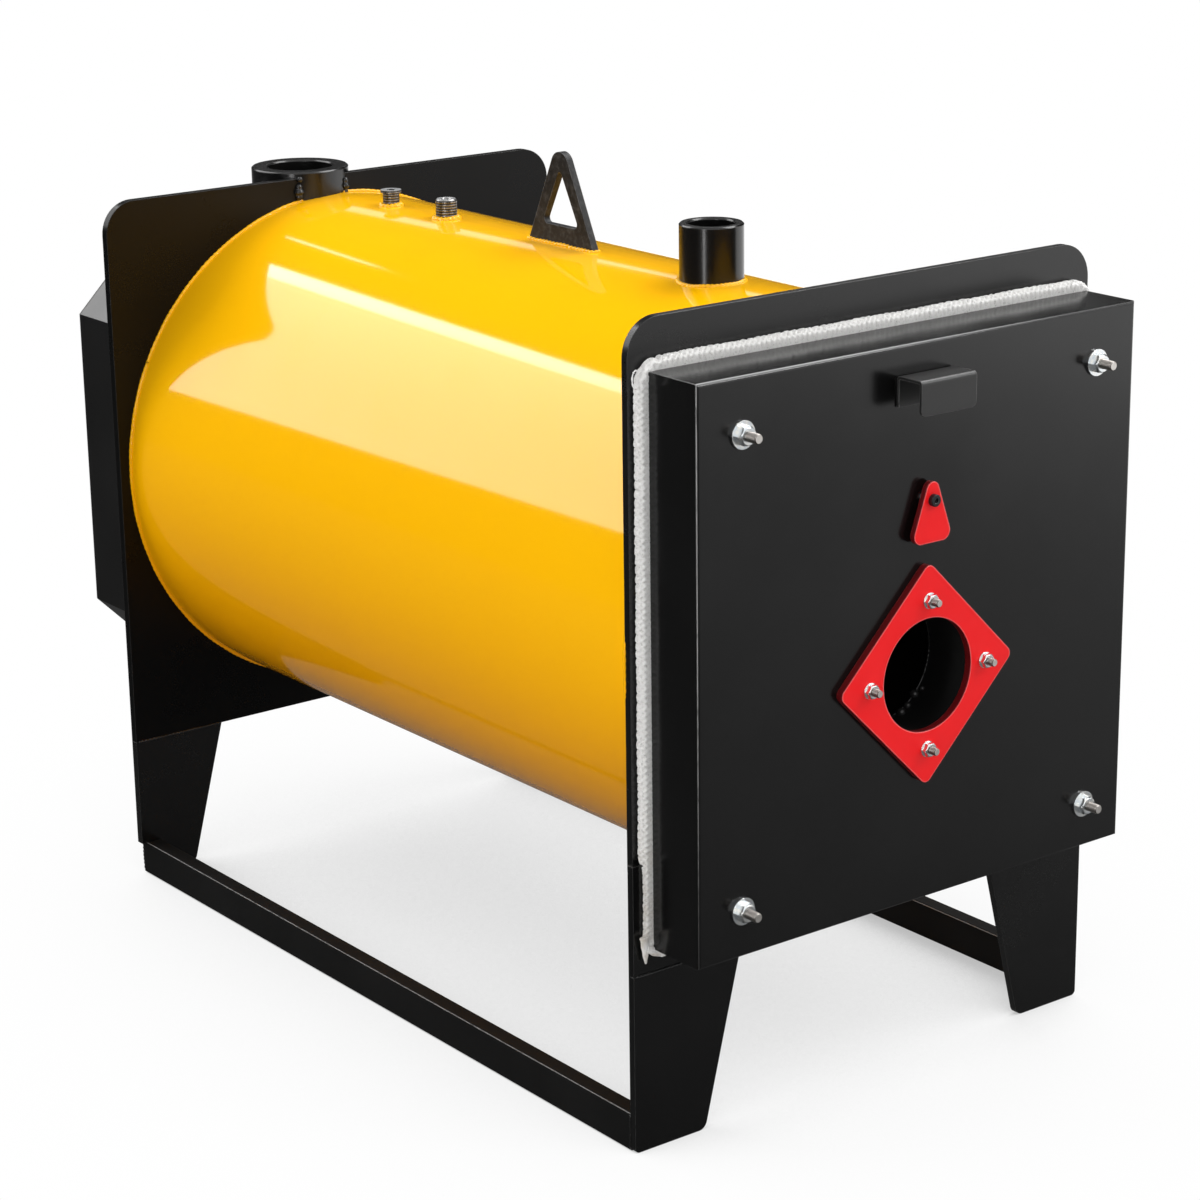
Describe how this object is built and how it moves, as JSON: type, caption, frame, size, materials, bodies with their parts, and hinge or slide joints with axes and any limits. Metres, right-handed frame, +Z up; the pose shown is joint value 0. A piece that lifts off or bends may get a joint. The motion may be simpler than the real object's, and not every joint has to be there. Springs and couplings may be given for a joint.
{
  "type": "industrial hot-water boiler",
  "caption": "Horizontal hot-water boiler shell: a barrel between square steel plates on legs, with an insulated front door, a burner opening, pipe sockets and a lifting lug.",
  "frame": {"origin": "on the floor, under the middle of the boiler's whole length and width", "axes": "+Z up, -Y towards the door and the burner opening, +X to the right of someone facing the door"},
  "size_m": [0.614, 1.294, 0.883],
  "materials": {
    "barrel_paint": "glossy yellow enamel",
    "black_paint": "satin black paint",
    "red_paint": "satin red paint",
    "insulation": "rough cast refractory",
    "gasket_rope": "woven glass rope",
    "zinc_plate": "bright zinc plate",
    "stud_steel": "bare threaded steel",
    "black_oxide": "black oxide",
    "furnace_steel": "bare mill-scaled steel"
  },
  "bodies": {
    "boiler": {"barrel_shell": "barrel_paint", "furnace_tube": "furnace_steel", "furnace_end": "furnace_steel", "front_plate": "black_paint", "front_apron": "black_paint", "rear_plate": "black_paint", "front_left_leg": "black_paint", "front_right_leg": "black_paint", "rear_left_leg": "black_paint", "rear_right_leg": "black_paint", "left_rail": "black_paint", "right_rail": "black_paint", "rear_chamber": "black_paint", "smoke_box": "black_paint", "flue_spigot": "black_paint", "flow_socket": "black_paint", "return_socket": "black_paint", "rear_gauge_socket": "black_paint", "front_gauge_socket": "black_paint", "lifting_lug": "black_paint", "door_pan": "black_paint", "door_refractory": "insulation", "door_gasket": "gasket_rope", "door_handle": "black_paint", "door_studs": "stud_steel", "door_washers": "zinc_plate", "door_nuts": "zinc_plate", "burner_flange": "red_paint", "burner_throat": "black_paint", "burner_studs": "stud_steel", "burner_washers": "zinc_plate", "burner_nuts": "zinc_plate", "sight_screw": "black_oxide", "sight_spacer": "zinc_plate", "sight_tube": "furnace_steel"},
    "sight_flap": {"sight_cover": "red_paint"}
  },
  "joints": [
    {"name": "sight_cover_swing", "type": "hinge", "parent": "boiler", "child": "sight_flap", "pos_m": [0, -0.624, 0.62], "axis": [0, -1, 0], "continuous": true}
  ]
}
